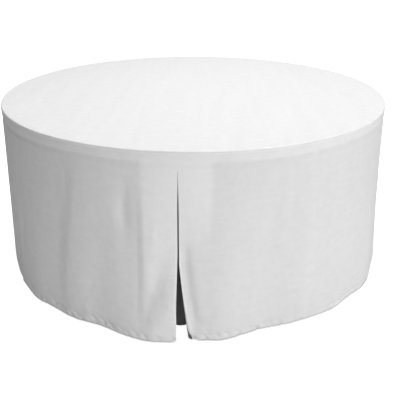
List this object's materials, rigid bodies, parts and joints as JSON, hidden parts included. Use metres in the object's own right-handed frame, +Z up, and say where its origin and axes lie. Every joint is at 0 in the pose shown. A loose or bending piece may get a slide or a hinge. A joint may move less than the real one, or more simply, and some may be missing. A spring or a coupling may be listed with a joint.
{
  "type": "fitted round table cover on a folding table",
  "caption": "White fitted round cloth cover with flared skirt and inverted pleats, on a round folding table with hinged leg frames and folding stays.",
  "frame": {"origin": "on the floor under the centre of the table", "axes": "+Z up, -Y towards the pleat that faces the viewer, +X to the viewer's right"},
  "size_m": [1.9048, 1.9048, 0.7638],
  "materials": {
    "cover_cloth": "smooth woven polyester, matt",
    "pleat_cloth": "smooth woven polyester, matt, in the pleats' shade",
    "thread": "polyester sewing thread",
    "moulded_top": "pebbled blow-moulded plastic",
    "frame_paint": "satin powder coat",
    "zinc_steel": "zinc plated",
    "foot_rubber": "matt"
  },
  "bodies": {
    "table": {"tabletop": "moulded_top", "under_skin": "moulded_top", "rail_front": "frame_paint", "rail_back": "frame_paint", "rail_screws": "zinc_steel", "stay_rivets": "zinc_steel"},
    "cover": {"top_panel": "cover_cloth", "top_edge": "cover_cloth", "rim_welt": "cover_cloth", "bar_tacks": "thread", "skirt_front_right": "cover_cloth", "skirt_back_right": "cover_cloth", "skirt_back_left": "cover_cloth", "skirt_front_left": "cover_cloth", "underlay_front": "pleat_cloth", "underlay_right": "pleat_cloth", "underlay_back": "pleat_cloth", "underlay_left": "pleat_cloth"},
    "pleat_front_left": {"flap_front_left": "cover_cloth", "return_front_left": "pleat_cloth"},
    "pleat_front_right": {"flap_front_right": "cover_cloth", "return_front_right": "pleat_cloth"},
    "pleat_right_front": {"flap_right_front": "cover_cloth", "return_right_front": "pleat_cloth"},
    "pleat_right_back": {"flap_right_back": "cover_cloth", "return_right_back": "pleat_cloth"},
    "pleat_back_right": {"flap_back_right": "cover_cloth", "return_back_right": "pleat_cloth"},
    "pleat_back_left": {"flap_back_left": "cover_cloth", "return_back_left": "pleat_cloth"},
    "pleat_left_back": {"flap_left_back": "cover_cloth", "return_left_back": "pleat_cloth"},
    "pleat_left_front": {"flap_left_front": "cover_cloth", "return_left_front": "pleat_cloth"},
    "legs_left": {"hinge_tube_left": "frame_paint", "leg_left_front": "frame_paint", "leg_left_back": "frame_paint", "crossbar_left": "frame_paint", "foot_left_front": "foot_rubber", "foot_left_back": "foot_rubber", "leg_rivets_left": "zinc_steel"},
    "stay_upper_left": {"stay_upper_left_front": "zinc_steel", "stay_upper_left_back": "zinc_steel", "elbow_rivets_left": "zinc_steel"},
    "stay_lower_left": {"stay_lower_left_front": "zinc_steel", "stay_lower_left_back": "zinc_steel"},
    "legs_right": {"hinge_tube_right": "frame_paint", "leg_right_front": "frame_paint", "leg_right_back": "frame_paint", "crossbar_right": "frame_paint", "foot_right_front": "foot_rubber", "foot_right_back": "foot_rubber", "leg_rivets_right": "zinc_steel"},
    "stay_upper_right": {"stay_upper_right_front": "zinc_steel", "stay_upper_right_back": "zinc_steel", "elbow_rivets_right": "zinc_steel"},
    "stay_lower_right": {"stay_lower_right_front": "zinc_steel", "stay_lower_right_back": "zinc_steel"}
  },
  "joints": [
    {"name": "cover_lift", "type": "slide", "parent": "table", "child": "cover", "axis": [0, 0, 1], "range_m": [0, 0.8]},
    {"name": "front_left_swing", "type": "hinge", "parent": "cover", "child": "pleat_front_left", "pos_m": [-0.19134, -0.90019, 0.69], "axis": [-0.0097, -0.0454, -0.9989], "range_deg": [0, 25], "stiffness_Nm_per_rad": 0.06},
    {"name": "front_right_swing", "type": "hinge", "parent": "cover", "child": "pleat_front_right", "pos_m": [0.19134, -0.90019, 0.69], "axis": [-0.0097, 0.0454, 0.9989], "range_deg": [0, 25], "stiffness_Nm_per_rad": 0.06},
    {"name": "right_front_swing", "type": "hinge", "parent": "cover", "child": "pleat_right_front", "pos_m": [0.90019, -0.19134, 0.69], "axis": [0.0454, -0.0097, -0.9989], "range_deg": [0, 25], "stiffness_Nm_per_rad": 0.06},
    {"name": "right_back_swing", "type": "hinge", "parent": "cover", "child": "pleat_right_back", "pos_m": [0.90019, 0.19134, 0.69], "axis": [-0.0454, -0.0097, 0.9989], "range_deg": [0, 25], "stiffness_Nm_per_rad": 0.06},
    {"name": "back_right_swing", "type": "hinge", "parent": "cover", "child": "pleat_back_right", "pos_m": [0.19134, 0.90019, 0.69], "axis": [0.0097, 0.0454, -0.9989], "range_deg": [0, 25], "stiffness_Nm_per_rad": 0.06},
    {"name": "back_left_swing", "type": "hinge", "parent": "cover", "child": "pleat_back_left", "pos_m": [-0.19134, 0.90019, 0.69], "axis": [0.0097, -0.0454, 0.9989], "range_deg": [0, 25], "stiffness_Nm_per_rad": 0.06},
    {"name": "left_back_swing", "type": "hinge", "parent": "cover", "child": "pleat_left_back", "pos_m": [-0.90019, 0.19134, 0.69], "axis": [-0.0454, 0.0097, -0.9989], "range_deg": [0, 25], "stiffness_Nm_per_rad": 0.06},
    {"name": "left_front_swing", "type": "hinge", "parent": "cover", "child": "pleat_left_front", "pos_m": [-0.90019, -0.19134, 0.69], "axis": [0.0454, 0.0097, 0.9989], "range_deg": [0, 25], "stiffness_Nm_per_rad": 0.06},
    {"name": "legs_left_fold", "type": "hinge", "parent": "table", "child": "legs_left", "pos_m": [-0.72, 0, 0.694], "axis": [0, -1, 0], "range_deg": [0, 93]},
    {"name": "stay_upper_left_fold", "type": "hinge", "parent": "table", "child": "stay_upper_left", "pos_m": [-0.44, 0, 0.694], "axis": [0, 1, 0], "range_deg": [0, 34.51]},
    {"name": "stay_lower_left_fold", "type": "hinge", "parent": "legs_left", "child": "stay_lower_left", "pos_m": [-0.73047, 0, 0.49427], "axis": [0, -1, 0], "range_deg": [0, 52.49]},
    {"name": "legs_right_fold", "type": "hinge", "parent": "table", "child": "legs_right", "pos_m": [0.72, 0, 0.694], "axis": [0, 1, 0], "range_deg": [0, 93]},
    {"name": "stay_upper_right_fold", "type": "hinge", "parent": "table", "child": "stay_upper_right", "pos_m": [0.44, 0, 0.694], "axis": [0, -1, 0], "range_deg": [0, 34.51]},
    {"name": "stay_lower_right_fold", "type": "hinge", "parent": "legs_right", "child": "stay_lower_right", "pos_m": [0.73047, 0, 0.49427], "axis": [0, 1, 0], "range_deg": [0, 52.49]}
  ],
  "couplings": [
    {"joint": "stay_upper_left_fold", "follows": "legs_left_fold", "ratio": 0.3711},
    {"joint": "stay_lower_left_fold", "follows": "legs_left_fold", "ratio": 0.56438},
    {"joint": "stay_upper_right_fold", "follows": "legs_right_fold", "ratio": 0.3711},
    {"joint": "stay_lower_right_fold", "follows": "legs_right_fold", "ratio": 0.56438}
  ]
}
